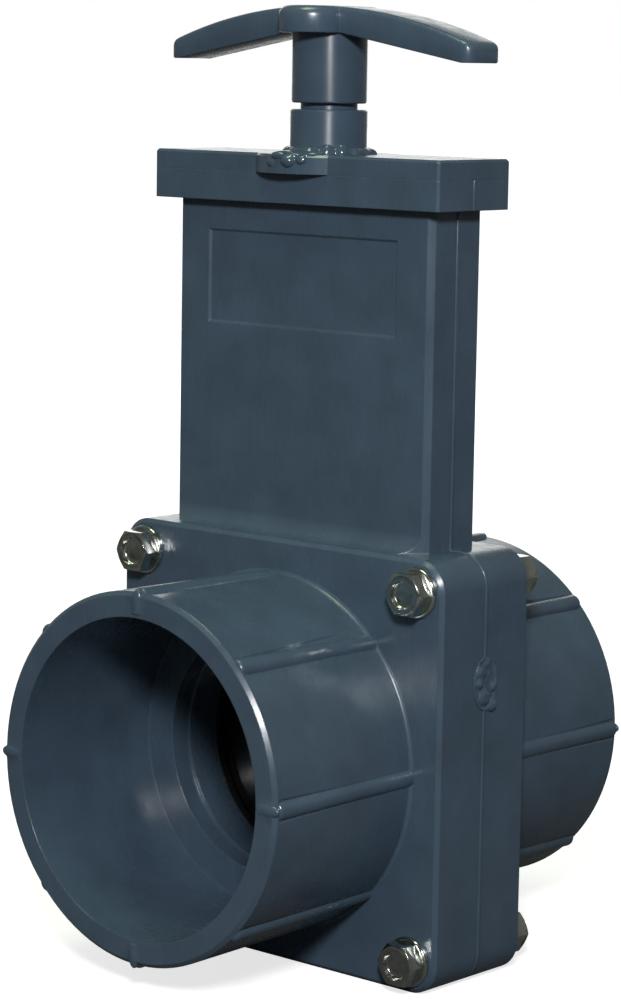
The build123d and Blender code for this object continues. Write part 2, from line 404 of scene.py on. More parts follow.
class ValveBody(bpy.types.PropertyGroup):
    """Sizes of the pipe sockets on the body's two halves."""
    socket_radius: length("Socket radius", "Outer radius of the pipe sockets", 36.0)
    bore_radius: length("Bore radius", "Inner radius of the pipe sockets", 31.6)
    mouth_flare: length("Mouth flare", "How much wider in radius a socket is at its mouth", 0.6)
    root_round: length("Root radius", "Radius of the hollow where socket meets block", 0.7)
    rib_count: bpy.props.IntProperty(name="Ribs", description="Number of ribs around each socket", default=8)
    rib_width: length("Rib width", "Width of each rib", 3.3)
    rib_height: length("Rib height", "How far each rib stands out", 0.85)
    rib_setback: length("Rib setback", "Distance from a rib's end to the mouth", 0.7)
    rib_end: length("Rib end", "Rounding of a rib's end", 0.9)
    rib_tuck: length("Rib tuck", "How far each rib starts inside the block", 1.0)
    packed_rib: length("Packed rib", "How far the packed body's own ribs stand out", 0.7)
    sunk_rib: length("Sunk rib", "How far they still do under the round ones", 0.3)
    packed_nub: length("Packed nub", "How far the packed body's own ridges stand out of its mouth", 0.3)
    nub_count: bpy.props.IntProperty(name="Nubs", description="Number of ridges across each mouth", default=4)
    nub_length: length("Nub length", "Length of each ridge across the mouth", 5.5)
    nub_width: length("Nub width", "Width of each ridge", 2.6)
    nub_thickness: length("Nub thickness", "Thickness of each ridge, most of it sunk in the mouth", 1.5)
    nub_height: length("Nub height", "How far each ridge stands out", 0.4)
    nub_shift: length("Nub shift", "How far each ridge lies outward of the wall's middle", 0.4)


class ValveMarks(bpy.types.PropertyGroup):
    """Sizes of the marks that moulding and welding leave."""
    bead_width: length("Bead width", "Width of the raised line where the halves meet", 0.9)
    bead_height: length("Bead height", "How far that line stands out", 0.25)
    housing_width: length("Housing width", "Width of the flat housing that the line runs up", 67.4)
    block_corner: length("Block corner", "Radius of the square block's corners", 6.4)
    rim_thickness: length("Rim thickness", "Height of the rim under the lid", 6.0)


class VALVE_OT_finishes(bpy.types.Operator):
    """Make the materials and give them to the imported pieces"""
    bl_idname = "valve.finishes"
    bl_label = "Finishes"

    def execute(self, context):
        colours = context.scene.valve_finish
        pvc = moulded_pvc("grey_moulded_pvc", colours.pvc, 0.22, 0.32, 0.35 * MM)
        lid_pvc = moulded_pvc("grey_moulded_pvc_lid", colours.pvc, 0.22, 0.32, 0.18 * MM)
        moulded_pvc("grey_welded_pvc", colours.pvc, 0.1, 0.2, 0.05 * MM)
        turned = turned_pvc("grey_turned_pvc", colours.pvc)
        plate = glossy_gate("black_polished_plate", colours.plate)
        rubber = black_rubber("black_seal_rubber", colours.rubber)
        steel = plated_metal("turned_stem_steel", colours.steel, 0.22, 0.36, 1.6 * MM, (1.0, 1.0, 12.0))
        plated_metal("zinc_plated_steel", colours.zinc, 0.1, 0.24, 1.4 * MM)
        finishes = {
            pvc: ("body_front", "body_rear", "handle"),
            lid_pvc: ("lid",),
            turned: ("gland_bushing",),
            plate: ("gate_plate",),
            rubber: ("seal_front", "seal_rear", "stem_seal"),
            steel: ("stem", "stem_cross_pin"),
        }
        for material, nodes in finishes.items():
            for node in nodes:
                dress(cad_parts[node], material)
        return {"FINISHED"}


def hexagon_blank(name, across, height, turned_both):
    """A hexagonal slab along +Z with its corners turned off at the top, or at both ends."""
    prism = start(CYLINDER, name, vertices=6, radius=across / math.sqrt(3), depth=height,
                  location=(0, 0, height / 2), rotation=(0, 0, math.radians(30)))
    turned_height = height * 0.15
    turned = start(CYLINDER, name + "_turned", vertices=64, radius=across * 0.6,
                   depth=height - turned_height * (2 if turned_both else 1),
                   location=(0, 0, height / 2 if turned_both else (height - turned_height) / 2))
    edit()
    for side in (1, -1) if turned_both else (1,):
        pick(turned, "faces", lambda face: face.normal.z * side > 0.9)
        bpy.ops.mesh.extrude_region_move(TRANSFORM_OT_translate={"value": (0, 0, side * turned_height)})
        bpy.ops.transform.resize(value=(0.8, 0.8, 1.0))
    leave_edit()
    cut_with(prism, turned, "INTERSECT")
    return prism


def threaded_rod(name, radius, length, pitch, plain):
    """A rod along -Z from the origin, plain at first and then with thread grooves to its chamfered end."""
    rod = start(CYLINDER, name, vertices=48, radius=radius, depth=plain,
                location=(0, 0, -plain / 2))
    edit()
    pick(rod, "faces", lambda face: face.normal.z < -0.9)
    root = (radius - 0.55 * pitch) / radius
    turns = int((length - plain) / pitch)
    for _ in range(turns):
        for factor in (root, 1 / root):
            bpy.ops.mesh.extrude_region_move(TRANSFORM_OT_translate={"value": (0, 0, -pitch / 2)})
            bpy.ops.transform.resize(value=(factor, factor, 1.0))
    left = length - plain - turns * pitch
    bpy.ops.mesh.extrude_region_move(TRANSFORM_OT_translate={"value": (0, 0, -max(left, 0.3 * pitch))})
    bpy.ops.transform.resize(value=(root, root, 1.0))
    leave_edit()
    return rod


class VALVE_OT_bolts(bpy.types.Operator):
    """Make the four bolts with dished heads and threaded ends"""
    bl_idname = "valve.bolts"
    bl_label = "Bolts"

    def execute(self, context):
        sizes = context.scene.valve_fasteners
        across = BOLT_HIGH.z - BOLT_LOW.z
        head_height = HEAD_SEAT - BOLT_LOW.y
        head = hexagon_blank("dished_bolt", across, head_height, False)
        dish = start(CYLINDER, "dish", vertices=48, radius=sizes.dish_radius,
                     depth=2 * sizes.dish_depth, location=(0, 0, head_height))
        edit()
        pick(dish, "faces", lambda face: face.normal.z < -0.9)
        bpy.ops.transform.resize(value=(0.9, 0.9, 1.0))
        bpy.ops.mesh.bevel(offset=0.3 * MM, segments=3, affect="EDGES")
        leave_edit()
        cut_with(head, dish)
        soften(head, 0.22 * MM, 2, 28)
        reach = BOLT_HIGH.y - HEAD_SEAT
        plain = NUT_LOW.y - HEAD_SEAT
        shank = threaded_rod("shank", sizes.shank_radius, reach, sizes.thread_pitch, plain)
        join(head, [shank])
        place = middle("bolt_upper_left")
        head.matrix_world = facing_front(place.x, HEAD_SEAT, place.z) @ head.matrix_world
        finish_mesh(head, 32)
        dress(head, named_material("zinc_plated_steel"))
        for corner in CORNERS:
            piece = copy_to(head, "dished_bolt_" + corner, middle("bolt_" + corner) - place)
            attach(piece, VALVE_BODY)
            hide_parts("bolt_" + corner)
        bpy.data.objects.remove(head, do_unlink=True)
        return {"FINISHED"}


class VALVE_OT_nuts(bpy.types.Operator):
    """Make the four nuts, turned off at both ends"""
    bl_idname = "valve.nuts"
    bl_label = "Nuts"

    def execute(self, context):
        across = NUT_HIGH.z - NUT_LOW.z
        height = NUT_HIGH.y - NUT_LOW.y
        nut = hexagon_blank("turned_nut", across, height, True)
        bore = start(CYLINDER, "bore", vertices=48,
                     radius=context.scene.valve_fasteners.nut_bore, depth=3 * height)
        cut_with(nut, bore)
        soften(nut, 0.2 * MM, 2, 28)
        place = middle("nut_upper_left")
        nut.matrix_world = facing_front(place.x, NUT_HIGH.y, place.z) @ nut.matrix_world
        finish_mesh(nut, 32)
        dress(nut, named_material("zinc_plated_steel"))
        for corner in CORNERS:
            piece = copy_to(nut, "turned_nut_" + corner, middle("nut_" + corner) - place)
            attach(piece, VALVE_BODY)
            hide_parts("nut_" + corner)
        bpy.data.objects.remove(nut, do_unlink=True)
        return {"FINISHED"}


class VALVE_OT_washers(bpy.types.Operator):
    """Make the eight stamped washers, with one rounded edge and one sharp"""
    bl_idname = "valve.washers"
    bl_label = "Washers"

    def execute(self, context):
        thickness = WASHER_HIGH.y - WASHER_LOW.y
        radius = (WASHER_HIGH.x - WASHER_LOW.x) / 2
        ring = start(CYLINDER, "stamped_washer", vertices=64, radius=radius,
                     depth=thickness, location=(0, 0, thickness / 2))
        bore = start(CYLINDER, "bore", vertices=64,
                     radius=context.scene.valve_fasteners.washer_bore, depth=4 * thickness)
        cut_with(ring, bore)
        edit()
        pick(ring, "edges", lambda edge: all(v.co.z > thickness * 0.4 and v.co.xy.length > radius * 0.9
                                             for v in edge.verts))
        bpy.ops.mesh.bevel(offset=0.45 * MM, segments=4, affect="EDGES")
        leave_edit()
        soften(ring, 0.08 * MM, 1, 40)
        front = middle("front_washer_upper_left")
        ring.matrix_world = facing_front(front.x, WASHER_HIGH.y, front.z) @ ring.matrix_world
        finish_mesh(ring, 35)
        dress(ring, named_material("zinc_plated_steel"))
        rear = copy_to(ring, "stamped_washer_turned")
        rear.matrix_world = Matrix.Rotation(math.radians(180), 4, "Z") @ rear.matrix_world
        apply_place()
        for side, source in (("front", ring), ("rear", rear)):
            origin = sum((v.co for v in source.data.vertices), Vector()) / len(source.data.vertices)
            for corner in CORNERS:
                node = f"{side}_washer_{corner}"
                target = middle(node)
                shift = Vector((target.x - origin.x, 0, target.z - origin.z))
                piece = copy_to(source, f"stamped_{node}", shift)
                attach(piece, VALVE_BODY)
                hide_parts(node)
        for source in (ring, rear):
            bpy.data.objects.remove(source, do_unlink=True)
        return {"FINISHED"}


def arm_section(x, sizes):
    """Lowest and highest point of the handle's bar at a distance from the stem."""
    half = HANDLE_HIGH.x
    radius = (half ** 2 + sizes.end_drop ** 2) / (2 * sizes.end_drop)
    high = HANDLE_HIGH.z - radius + math.sqrt(radius ** 2 - x ** 2)
    flat_bottom = HANDLE_HIGH.z - sizes.arm_thickness
    end_bottom = HANDLE_HIGH.z - sizes.end_drop - sizes.end_height
    slope_start = sizes.boss_width / 2
    slope_end = half - sizes.end_foot
    share = min(max((x - slope_start) / (slope_end - slope_start), 0.0), 1.0)
    return flat_bottom + share * (end_bottom - flat_bottom), high


class VALVE_OT_handle(bpy.types.Operator):
    """Make the T-handle with rounded arms, a domed boss and the sleeve that takes the stem"""
    bl_idname = "valve.handle"
    bl_label = "Handle"

    def execute(self, context):
        sizes = context.scene.valve_handle
        half = HANDLE_HIGH.x
        top = HANDLE_HIGH.z
        low, high = arm_section(0.0, sizes)
        bar = start(PLANE, "arched_handle", size=1.0,
                    location=(0, 0, (low + high) / 2), rotation=(0, math.radians(90), 0))
        bar.scale = (high - low, sizes.arm_depth, 1.0)
        apply_place()
        slope_start = sizes.boss_width / 2
        slope_end = half - sizes.end_foot
        steps = 18
        slope = slope_end - slope_start
        stations = [slope_start + slope * step / steps for step in range(steps + 1)] + [half]
        edit()
        bpy.ops.mesh.select_all(action="SELECT")
        x = 0.0
        for station in stations:
            next_low, next_high = arm_section(station, sizes)
            rise = (next_low + next_high - low - high) / 2
            bpy.ops.mesh.extrude_region_move(TRANSFORM_OT_translate={"value": (station - x, 0, rise)})
            bpy.ops.transform.resize(value=(1.0, 1.0, (next_high - next_low) / (high - low)))
            x, low, high = station, next_low, next_high
        pick(bar, "faces", lambda face: abs(face.calc_center_median().x) < 0.01 * MM)
        bpy.ops.mesh.delete(type="ONLY_FACE")
        leave_edit()
        modify(bar, "MIRROR", merge_threshold=0.01 * MM)
        edit()
        bpy.ops.mesh.select_all(action="SELECT")
        bpy.ops.mesh.normals_make_consistent(inside=False)
        pick(bar, "edges", lambda edge: all(abs(v.co.x) > half - 0.01 * MM for v in edge.verts)
             and abs(edge.verts[0].co.z - edge.verts[1].co.z) > sizes.end_height / 2)
        bpy.ops.mesh.bevel(offset=sizes.end_corner, segments=4, affect="EDGES")
        pick(bar, "edges", lambda edge: len(edge.link_faces) == 2
             and max(f.normal.z for f in edge.link_faces) > 0.5 > min(f.normal.z for f in edge.link_faces))
        bpy.ops.mesh.bevel(offset=1.0 * MM, segments=4, affect="EDGES")
        leave_edit()
        soften(bar, 0.35 * MM, 2, 32)

        radius = sizes.boss_width / 2
        boss = start(CYLINDER, "boss", vertices=64, radius=radius,
                     depth=sizes.arm_thickness, location=(0, 0, top - sizes.arm_thickness / 2))
        apply_place()
        edit()
        for side in (1, -1):
            pick(boss, "verts", lambda vertex: vertex.co.y * side > 0.01 * MM)
            bpy.ops.transform.translate(value=(0, side * (HANDLE_HIGH.y - radius), 0))
        pick(boss, "edges", lambda edge: all(v.co.z > top - 0.01 * MM for v in edge.verts))
        bpy.ops.mesh.bevel(offset=2.0 * MM, segments=6, affect="EDGES")
        leave_edit()
        soften(boss, 0.3 * MM, 2, 32)

        inside = top - sizes.arm_thickness / 2
        sleeve_low = HANDLE_LOW.z + sizes.sleeve_gap
        sleeve = start(CYLINDER, "sleeve", vertices=96, radius=sizes.sleeve_radius,
                       depth=inside - sleeve_low, location=(0, 0, (inside + sleeve_low) / 2))
        soften(sleeve, 0.45 * MM, 3, 40)
        neck = start(CYLINDER, "neck", vertices=96, radius=sizes.neck_radius,
                     depth=inside - HANDLE_LOW.z, location=(0, 0, (inside + HANDLE_LOW.z) / 2))
        for part in (boss, sleeve, neck):
            cut_with(bar, part, "UNION")
        stem_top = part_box("stem")[1].z + 0.05 * MM
        bore = start(CYLINDER, "bore", vertices=64, radius=sizes.bore_radius,
                     depth=2 * (stem_top - HANDLE_LOW.z), location=(0, 0, HANDLE_LOW.z))
        cut_with(bar, bore)
        finish_mesh(bar, 32)
        dress(bar, named_material("grey_moulded_pvc"))
        bar.data.materials.append(named_material("grey_turned_pvc"))
        sleeve_top = top - sizes.arm_thickness
        for face in bar.data.polygons:
            if face.center.z < sleeve_top and face.center.xy.length < sizes.sleeve_radius + 0.1 * MM:
                face.material_index = 1
        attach(bar, SLIDE)
        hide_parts("handle")
        return {"FINISHED"}


def about_pipe(vertex):
    """Distance of a vertex from the pipe's axis."""
    return math.hypot(vertex.co.x, vertex.co.z - PIPE_AXIS)


def scale_about_pipe(new_radius, old_radius):
    """In edit mode, scales what is selected about the pipe's axis, from one radius to another."""
    factor = new_radius / old_radius
    bpy.ops.transform.resize(value=(factor, 1.0, factor), center_override=(0, 0, PIPE_AXIS))


def body_half(sizes, mouth):
    """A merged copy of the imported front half, with its mouth flared and its own ribs sunk."""
    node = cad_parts["body_front"]
    body = node.copy()
    body.data = node.data.copy()
    body.parent = None
    body.matrix_world = Matrix.Identity(4)
    body.name = "moulded_body_front"
    body.data.name = "moulded_body_front"
    bpy.context.scene.collection.objects.link(body)
    only(body)
    bpy.ops.mesh.customdata_custom_splitnormals_clear()
    edit()
    bpy.ops.mesh.select_all(action="SELECT")
    bpy.ops.mesh.remove_doubles(threshold=SAME_POINT)

    outer_edge = sizes.socket_radius - 1.0 * MM
    pick(body, "verts", lambda vertex: vertex.co.y < 0.9 * MM - mouth and about_pipe(vertex) > outer_edge)
    scale_about_pipe(sizes.socket_radius + sizes.mouth_flare, sizes.socket_radius)

    lowest_top = sizes.socket_radius + 0.5 * MM
    highest_top = sizes.socket_radius + 0.8 * MM
    pick(body, "verts", lambda vertex: 2.0 * MM - mouth < vertex.co.y < BLOCK_FACE + 0.05 * MM
         and lowest_top < about_pipe(vertex) < highest_top)
    scale_about_pipe(sizes.socket_radius + sizes.sunk_rib, sizes.socket_radius + sizes.packed_rib)
    leave_edit()
    return body


def socket_root(sizes):
    """The hollow where the front socket meets the block, as a ring of its own."""
    reach = sizes.socket_radius + sizes.root_round
    sunk = 0.3 * MM
    root = start(CYLINDER, "socket_root_front", vertices=144, radius=reach, depth=sizes.root_round + sunk,
                 location=(0, 0, (sizes.root_round - sunk) / 2))
    inside = start(CYLINDER, "inside", vertices=144, radius=sizes.socket_radius - sunk,
                   depth=8 * sizes.root_round)
    cut_with(root, inside)
    hollow = start(TORUS, "hollow", major_radius=reach, minor_radius=sizes.root_round, major_segments=144,
                   minor_segments=48, location=(0, 0, sizes.root_round))
    cut_with(root, hollow)
    only(root)
    apply_place()
    root.matrix_world = facing_front(0, BLOCK_FACE, PIPE_AXIS)
    return root


def socket_ribs(sizes, mouth):
    """The front socket's rounded ribs, and the ridges across its mouth."""
    half = sizes.rib_width / 2
    radius = (half ** 2 + sizes.rib_height ** 2) / (2 * sizes.rib_height)
    reach = mouth + BLOCK_FACE - sizes.rib_setback
    lean = Matrix.Rotation(math.atan(sizes.mouth_flare / reach), 4, "Y")
    ribs = []
    for turn in range(sizes.rib_count):
        rib = start(CYLINDER, "rib", vertices=32, radius=radius, depth=reach + sizes.rib_tuck,
                    location=(0, 0, (reach - sizes.rib_tuck) / 2))
        apply_place()
        edit()
        pick(rib, "faces", lambda face: face.normal.z > 0.9)
        bpy.ops.mesh.bevel(offset=sizes.rib_end, segments=4, affect="EDGES")
        leave_edit()
        around = Matrix.Rotation(turn * 2 * math.pi / sizes.rib_count, 4, "Z")
        outward = Matrix.Translation((sizes.socket_radius + sizes.rib_height - radius, 0, 0))
        rib.matrix_world = facing_front(0, BLOCK_FACE, PIPE_AXIS) @ around @ outward @ lean
        ribs.append(rib)
    wall_middle = (sizes.socket_radius + sizes.mouth_flare + sizes.bore_radius) / 2
    for turn in range(sizes.nub_count):
        nub = start(SPHERE, "nub", segments=32, ring_count=16, radius=1.0)
        nub.scale = (sizes.nub_length / 2, sizes.nub_width / 2, sizes.nub_thickness / 2)
        bpy.ops.object.transform_apply(location=False, rotation=False, scale=True)
        around = Matrix.Rotation(turn * 2 * math.pi / sizes.nub_count, 4, "Z")
        outward = Matrix.Translation((wall_middle + sizes.nub_shift, 0,
                                      mouth + sizes.nub_height - sizes.nub_thickness / 2))
        nub.matrix_world = facing_front(0, 0, PIPE_AXIS) @ around @ outward
        ribs.append(nub)
    for rib in ribs:
        only(rib)
        apply_place()
    join(ribs[0], ribs[1:])
    ribs[0].name = "socket_ribs_front"
    ribs[0].data.name = "socket_ribs_front"
    return ribs[0]


class VALVE_OT_body(bpy.types.Operator):
    """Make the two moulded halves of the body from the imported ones, with flared mouths and rounded ribs"""
    bl_idname = "valve.body"
    bl_label = "Body halves"

    def execute(self, context):
        sizes = context.scene.valve_body
        mouth = -BODY_LOW.y - sizes.packed_nub
        for piece in (body_half(sizes, mouth), socket_root(sizes), socket_ribs(sizes, mouth)):
            finish_mesh(piece, 30)
            dress(piece, named_material("grey_moulded_pvc"))
            rear = copy_to(piece, piece.name.replace("front", "rear"))
            rear.scale.y = -1.0
            finish_mesh(rear, 30)
            for half in (piece, rear):
                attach(half, VALVE_BODY)
        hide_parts("body_front")
        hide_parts("body_rear")
        return {"FINISHED"}


def strip(name, low, high):
    """A thin upright strip between two corners."""
    piece = start(CUBE, name, size=1.0, location=(low + high) / 2)
    piece.scale = high - low
    bpy.ops.object.transform_apply(location=False, rotation=False, scale=True)
    return piece


class VALVE_OT_parting_bead(bpy.types.Operator):
    """Make the raised line around the body where its two halves meet"""
    bl_idname = "valve.parting_bead"
    bl_label = "Parting bead"

    def execute(self, context):
        sizes = context.scene.valve_marks
        half = sizes.bead_width / 2
        out = sizes.bead_height
        wall = 2 * MM
        ring = start(CUBE, "parting_bead", size=1.0, location=(0, 0, (BLOCK_TOP + out) / 2))
        ring.scale = (2 * (BLOCK_SIDE + out), 2 * half, BLOCK_TOP + out)
        bpy.ops.object.transform_apply(location=True, rotation=False, scale=True)
        edit()
        pick(ring, "edges", lambda edge: abs((edge.verts[0].co - edge.verts[1].co).y) > half)
        bpy.ops.mesh.bevel(offset=sizes.block_corner + out, segments=12, affect="EDGES")
        pick(ring, "faces", lambda face: abs(face.normal.y) > 0.9)
        bpy.ops.mesh.inset(thickness=wall)
        bpy.ops.mesh.bridge_edge_loops()
        leave_edit()
        housing = sizes.housing_width / 2
        rim_low = RIM_TOP - sizes.rim_thickness
        sunk = 1 * MM
        strips = []
        for side in (-1, 1):
            for reach, low, high in ((housing, BLOCK_TOP - sunk, rim_low), (LID_HIGH.x, rim_low, RIM_TOP)):
                inner = side * (reach - sunk)
                outer = side * (reach + out)
                strips.append(strip("strip", Vector((min(inner, outer), -half, low)),
                                    Vector((max(inner, outer), half, high))))
        join(ring, strips)
        soften(ring, 0.22 * MM, 3, 40)
        finish_mesh(ring, 40)
        dress(ring, named_material("grey_moulded_pvc"))
        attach(ring, VALVE_BODY)
        return {"FINISHED"}


def noise_texture(name, size):
    """Cloud texture for displacement, with features of about this size."""
    texture = bpy.data.textures.new(name, "CLOUDS")
    texture.noise_scale = size
    texture.noise_depth = 2
    return texture


class VALVE_OT_gate_mark(bpy.types.Operator):
    """Make the torn oval mark that the moulding gate left on the block's right side"""
    bl_idname = "valve.gate_mark"
    bl_label = "Moulding gate mark"

    def execute(self, context):
        place = Vector((BLOCK_SIDE, 0.1 * MM, PIPE_AXIS + 17.8 * MM))
        oval = start(CYLINDER, "moulding_gate_mark", vertices=40, radius=1.0, depth=0.9 * MM,
                     location=place, rotation=(0, math.radians(90), 0))
        oval.scale = (5.4 * MM, 3.5 * MM, 1.0)
        apply_place()
        edit()
        pick(oval, "faces", lambda face: face.normal.x > 0.9)
        bpy.ops.mesh.inset(thickness=0.8 * MM)
        bpy.ops.transform.translate(value=(-0.35 * MM, 0, 0))
        bpy.ops.mesh.inset(thickness=0.9 * MM)
        bpy.ops.transform.translate(value=(0.15 * MM, 0, 0))
        leave_edit()
        # Torn lumps: place along Y and Z from the mark's middle, radius and height, in millimetres
        torn = ((-1.7, 2.4, 1.5, 0.8), (-1.9, 0.2, 1.2, 0.8), (-0.6, -2.6, 1.7, 1.0),
                (1.9, -4.4, 1.4, 0.9), (2.3, -0.8, 1.0, 0.7), (0.3, 4.2, 1.1, 0.6))
        lumps = []
        for along, up, radius, height in torn:
            lump = start(SPHERE, "lump", segments=20, ring_count=10, radius=radius * MM,
                         location=place + Vector((0.1 * MM, along * MM, up * MM)))
            lump.scale.x = height / radius
            lumps.append(lump)
        join(oval, lumps)
        apply_place()
        modify(oval, "REMESH", mode="VOXEL", voxel_size=0.14 * MM)
        modify(oval, "DISPLACE", texture=noise_texture("torn", 1.1 * MM), strength=0.7 * MM, mid_level=0.5,
               direction="X", texture_coords="LOCAL")
        modify(oval, "SMOOTH", factor=0.6, iterations=12)
        finish_mesh(oval, 60)
        dress(oval, named_material("grey_welded_pvc"))
        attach(oval, VALVE_BODY)
        return {"FINISHED"}


class VALVE_OT_gland_weld(bpy.types.Operator):
    """Make the glossy run of solvent weld around the foot of the gland"""
    bl_idname = "valve.gland_weld"
    bl_label = "Gland weld"

    def execute(self, context):
        top = LID_HIGH.z
        clear = 0.1 * MM
        ring = start(TORUS, "gland_weld", major_radius=BUSHING_HIGH.x + clear, minor_radius=1.4 * MM,
                     major_segments=96, minor_segments=12, location=(0, 0, top + clear))
        # Runs of the weld: angle around the gland in degrees, and its distance out, radius, height and
        # drop below the lid's top in millimetres
        runs = ((-74, 8.8, 2.1, 1.7, 0.0), (-50, 8.2, 1.6, 2.1, 0.0), (-30, 8.2, 1.5, 2.3, 0.0),
                (-10, 8.2, 1.5, 1.6, 0.0), (-95, 8.7, 1.9, 1.4, 0.0), (-118, 8.5, 1.6, 1.2, 0.0),
                (-140, 8.4, 1.3, 1.0, 0.0), (12, 8.3, 1.3, 1.3, 0.0), (35, 8.4, 1.4, 1.1, 0.0),
                (80, 8.3, 1.2, 1.1, 0.0), (130, 8.5, 1.5, 1.0, 0.0), (175, 8.3, 1.2, 0.9, 0.0),
                (-80, 11.3, 3.4, 0.7, 0.0), (-62, 12.0, 2.4, 0.8, 0.0), (-94, 13.0, 2.2, 1.0, 0.2),
                (-82, 13.7, 1.9, 1.5, 1.2), (-100, 13.6, 1.5, 1.3, 1.6), (-70, 13.8, 1.4, 1.1, 1.0))
        drops = []
        for angle, out, radius, height, drop_down in runs:
            turn = math.radians(angle)
            place = (out * MM * math.cos(turn), out * MM * math.sin(turn), top - drop_down * MM)
            drop = start(SPHERE, "drop", segments=24, ring_count=12, radius=radius * MM, location=place)
            drop.scale.z = height / radius
            drops.append(drop)
        join(ring, drops)
        apply_place()
        modify(ring, "REMESH", mode="VOXEL", voxel_size=0.16 * MM)
        modify(ring, "DISPLACE", texture=noise_texture("weld", 1.6 * MM), strength=0.5 * MM, mid_level=0.5,
               texture_coords="LOCAL")
        modify(ring, "SMOOTH", factor=0.6, iterations=26)
        finish_mesh(ring, 180)
        dress(ring, named_material("grey_welded_pvc"))
        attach(ring, VALVE_BODY)
        return {"FINISHED"}


class ValveStage(bpy.types.PropertyGroup):
    """Where the camera stands, and the lamps' power."""
    turn: bpy.props.FloatProperty(
        name="Turn", description="Camera's turn around the stem from the front",
        default=math.radians(41.516), subtype="ANGLE")
    pitch: bpy.props.FloatProperty(
        name="Pitch", description="How far the camera looks down", default=math.radians(8.011),
        subtype="ANGLE")
    roll: bpy.props.FloatProperty(
        name="Roll", description="Camera's roll", default=math.radians(0.973), subtype="ANGLE")
    distance: bpy.props.FloatProperty(
        name="Distance", description="From the aim point to the camera", default=632.435 * MM, unit="LENGTH")
    aim_side: bpy.props.FloatProperty(
        name="Aim sideways", description="Aim point's place to the right of the stem", default=-2.366 * MM,
        unit="LENGTH", precision=5)
    aim_height: bpy.props.FloatProperty(
        name="Aim height", description="Aim point's height over the pipe's axis", default=49.319 * MM,
        unit="LENGTH", precision=5)
    focal_pixels: bpy.props.FloatProperty(
        name="Focal length", description="Focal length in pixels of the photo", default=3125.9)
    flash_watts: bpy.props.FloatProperty(
        name="Flash", description="Power of the compact lamp above the camera", default=5.6, unit="POWER")
    ceiling_watts: bpy.props.FloatProperty(
        name="Ceiling lamp", description="Power of the greenish lamp overhead", default=6.7, unit="POWER")
    fill_watts: bpy.props.FloatProperty(
        name="Fill lamp", description="Power of the broad lamp behind the valve", default=3.0, unit="POWER")


def area_lamp(name, watts, size, place, colour):
    """A soft square lamp that looks at the valve's middle."""
    bpy.ops.object.select_all(action="DESELECT")
    bpy.ops.object.light_add(type="AREA", location=place)
    lamp = bpy.context.object
    lamp.name = name
    lamp.data.shape = "SQUARE"
    lamp.data.size = size
    lamp.data.energy = watts
    lamp.data.color = colour
    lamp.rotation_euler = (LAMP_AIM - Vector(place)).to_track_quat("-Z", "Y").to_euler()
    return lamp


def combine(tree, operation, first, second):
    """One number made of two."""
    made = add_node(tree, "ShaderNodeMath", {"operation": operation}, {0: first, 1: second})
    return made.outputs[0]


def mix(tree, share, first, second):
    """A share of the second shader over the first."""
    made = add_node(tree, "ShaderNodeMixShader", None, {0: share, 1: first, 2: second})
    return made.outputs[0]


def reach_along(tree, vector, axis):
    """How far a vector goes along an axis."""
    made = add_node(tree, "ShaderNodeVectorMath", {"operation": "DOT_PRODUCT"}, {0: vector, 1: axis})
    return made.outputs["Value"]


def pale_floor(name, away):
    """Paper floor: white to the camera, with the object's shadow kept. Mirrors see it pale only on the
    far side, where the backdrop is."""
    material = bpy.data.materials.new(name)
    tree = cleared_tree(material)
    place = add_node(tree, "ShaderNodeTexCoord").outputs["Object"]
    distance = add_node(tree, "ShaderNodeVectorMath", {"operation": "LENGTH"}, {0: place})
    rays = add_node(tree, "ShaderNodeLightPath").outputs
    tone = spread(tree, rays["Is Camera Ray"], 0.1, 0.5, 0.0, 1.0)
    paper = add_node(tree, "ShaderNodeBsdfDiffuse", None, {"Color": tone})
    glow = spread(tree, distance.outputs["Value"], 0.74, 1.0, 0.2, 0.9)
    far_side = spread(tree, reach_along(tree, place, away), 0.0, 0.35, 0.3, 0.9)
    mirrored = combine(tree, "MULTIPLY", rays["Is Glossy Ray"], far_side)
    seen = combine(tree, "MAXIMUM", rays["Is Camera Ray"], rays["Is Transmission Ray"])
    strength = combine(tree, "MULTIPLY", combine(tree, "MAXIMUM", seen, mirrored), glow)
    white = add_node(tree, "ShaderNodeEmission", None, {"Strength": strength})
    both = add_node(tree, "ShaderNodeAddShader", None, {0: paper.outputs[0], 1: white.outputs[0]})
    add_node(tree, "ShaderNodeOutputMaterial", None, {"Surface": both.outputs[0]})
    return material


